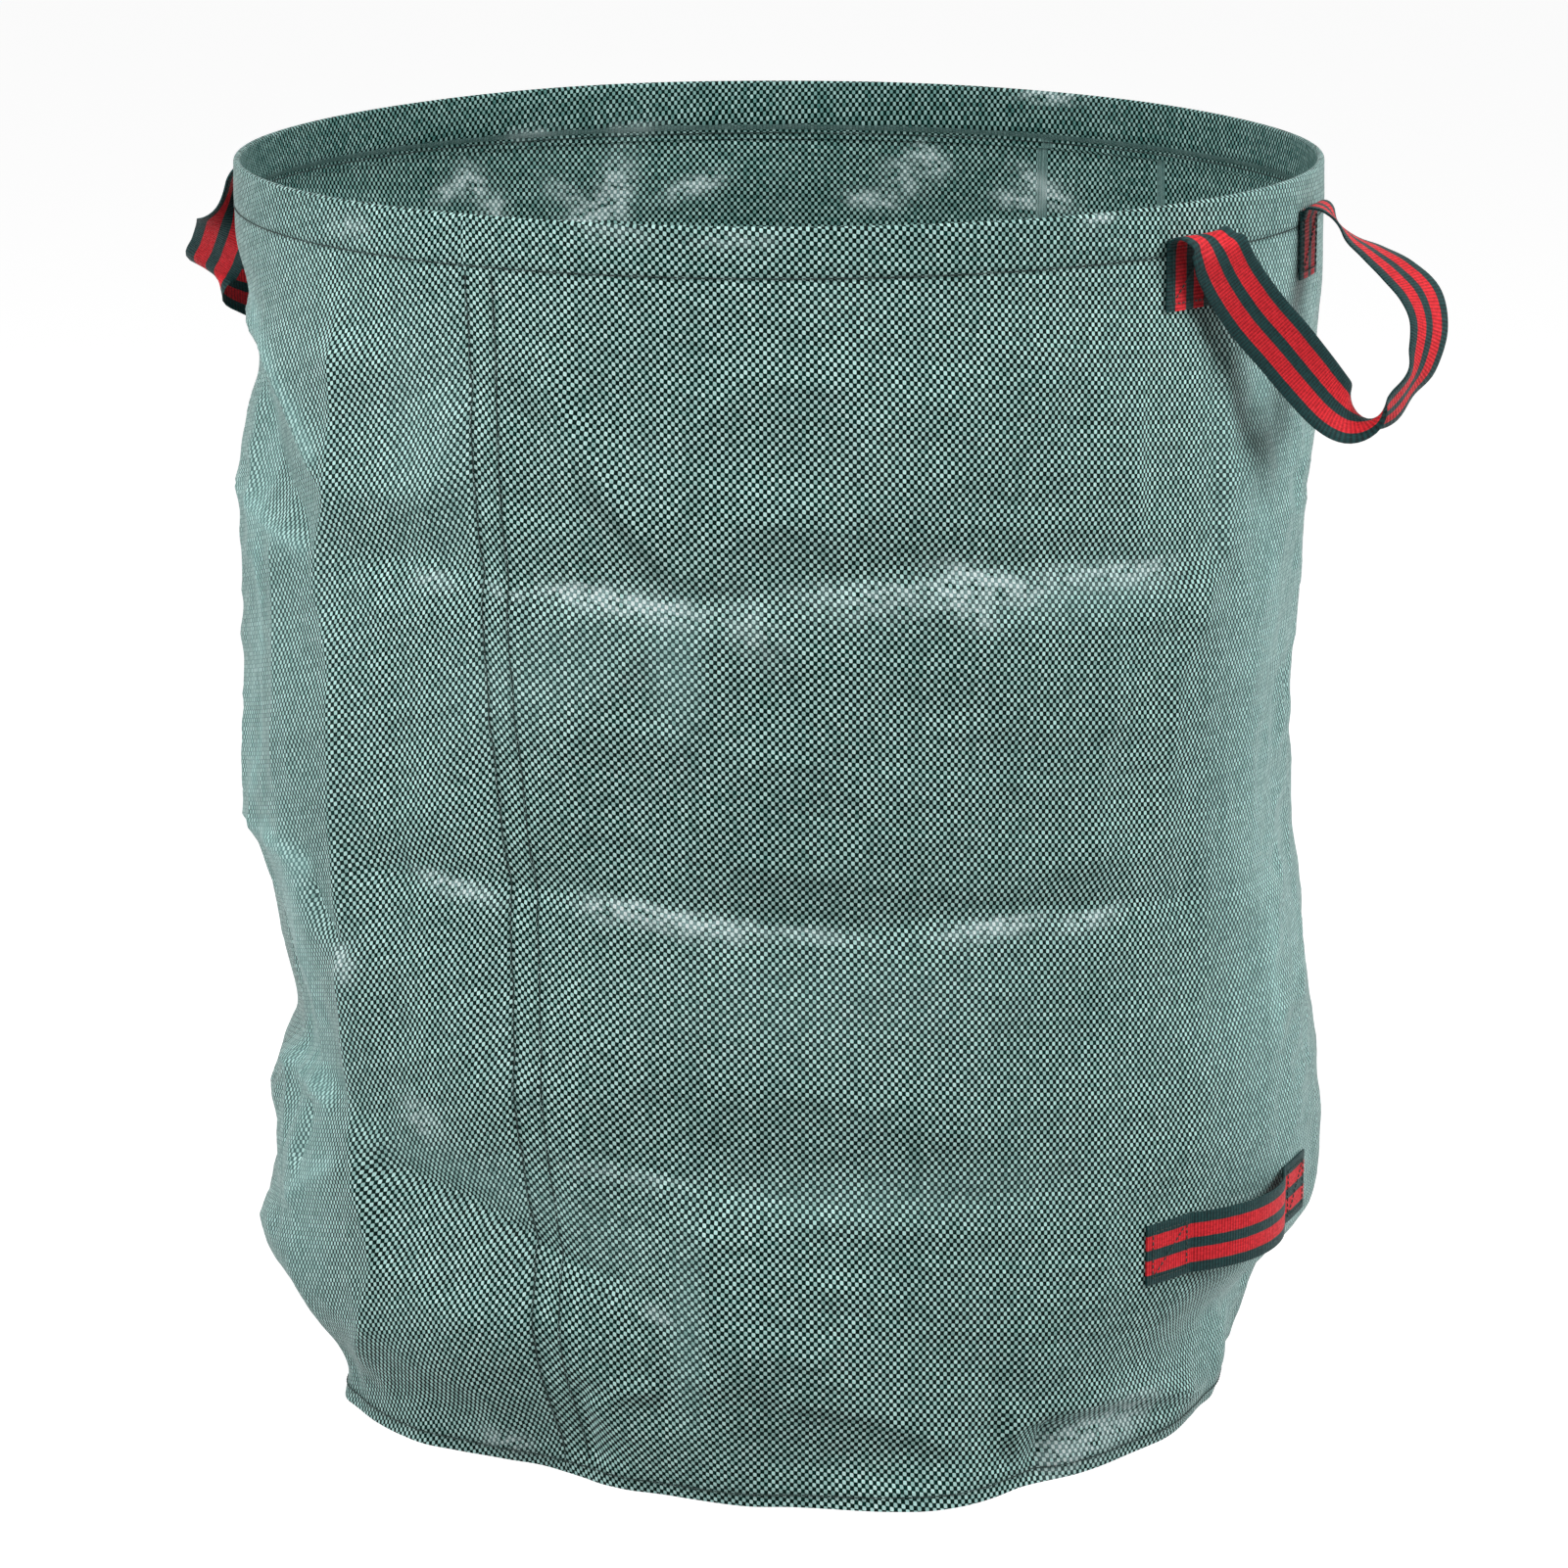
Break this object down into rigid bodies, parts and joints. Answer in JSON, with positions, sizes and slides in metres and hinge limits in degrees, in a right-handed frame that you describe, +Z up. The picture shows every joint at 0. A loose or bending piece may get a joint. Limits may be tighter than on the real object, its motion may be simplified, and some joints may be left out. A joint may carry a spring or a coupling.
{
  "type": "pop up leaf bag",
  "caption": "Round open-topped garden bag of woven plastic tape with a sprung hoop in its rim, webbing loop handles at the rim and a level webbing handle low on the wall.",
  "frame": {"origin": "centre of the underside of the base, on the floor", "axes": "+Z up along the bag's axis; -Y towards the front as pictured; +X towards the bottom handle's side, right in the picture"},
  "size_m": [0.7772, 0.6797, 0.7601],
  "materials": {
    "woven_tape": "woven flat plastic tape in dark and pale grey green, slightly glossy",
    "woven_tape_lap": "the same woven tape",
    "base_cloth": "the same woven tape, darker where it is seen inside",
    "striped_webbing": "ribbed red webbing with dark green stripes, matte",
    "sewing_thread": "dark green thread",
    "hoop_plastic": "black flat strip, hidden in the hem"
  },
  "bodies": {
    "bag": {"side_wall": "woven_tape", "seam_lap": "woven_tape_lap", "seam_stitching_left": "sewing_thread", "seam_stitching_right": "sewing_thread", "base_panel": "base_cloth", "base_edge": "base_cloth", "base_stitching": "sewing_thread", "bottom_handle_front_tab": "striped_webbing", "bottom_handle_front_tab_stitching": "sewing_thread", "bottom_handle_rear_tab": "striped_webbing", "bottom_handle_rear_tab_stitching": "sewing_thread"},
    "rim": {"rim_hem": "woven_tape", "rim_hoop": "hoop_plastic", "hoop_joint": "hoop_plastic", "hem_stitching": "sewing_thread", "right_handle_front_tab": "striped_webbing", "right_handle_front_tab_stitching": "sewing_thread", "right_handle_rear_tab": "striped_webbing", "right_handle_rear_tab_stitching": "sewing_thread", "left_handle_front_tab": "striped_webbing", "left_handle_front_tab_stitching": "sewing_thread", "left_handle_rear_tab": "striped_webbing", "left_handle_rear_tab_stitching": "sewing_thread"},
    "right_handle": {"right_handle_loop": "striped_webbing"},
    "left_handle": {"left_handle_loop": "striped_webbing"},
    "bottom_handle": {"bottom_handle_span": "striped_webbing"}
  },
  "joints": [
    {"name": "rim_collapse", "type": "slide", "parent": "bag", "child": "rim", "axis": [0, 0, 1], "range_m": [-0.44, 0], "deforming": ["side_wall", "seam_lap", "seam_stitching_left", "seam_stitching_right"]},
    {"name": "right_handle_swing", "type": "hinge", "parent": "rim", "child": "right_handle", "pos_m": [0.27897, -0.17772, 0.744], "axis": [-0.5373, -0.8434, 0], "range_deg": [0, 80]},
    {"name": "left_handle_swing", "type": "hinge", "parent": "rim", "child": "left_handle", "pos_m": [-0.29855, 0.1424, 0.744], "axis": [0.4305, 0.9026, 0], "range_deg": [0, 85]},
    {"name": "bottom_handle_swing", "type": "hinge", "parent": "bag", "child": "bottom_handle", "pos_m": [0.27954, -0.1898, 0.15], "axis": [-0.5753, -0.818, 0], "range_deg": [0, 45]}
  ]
}
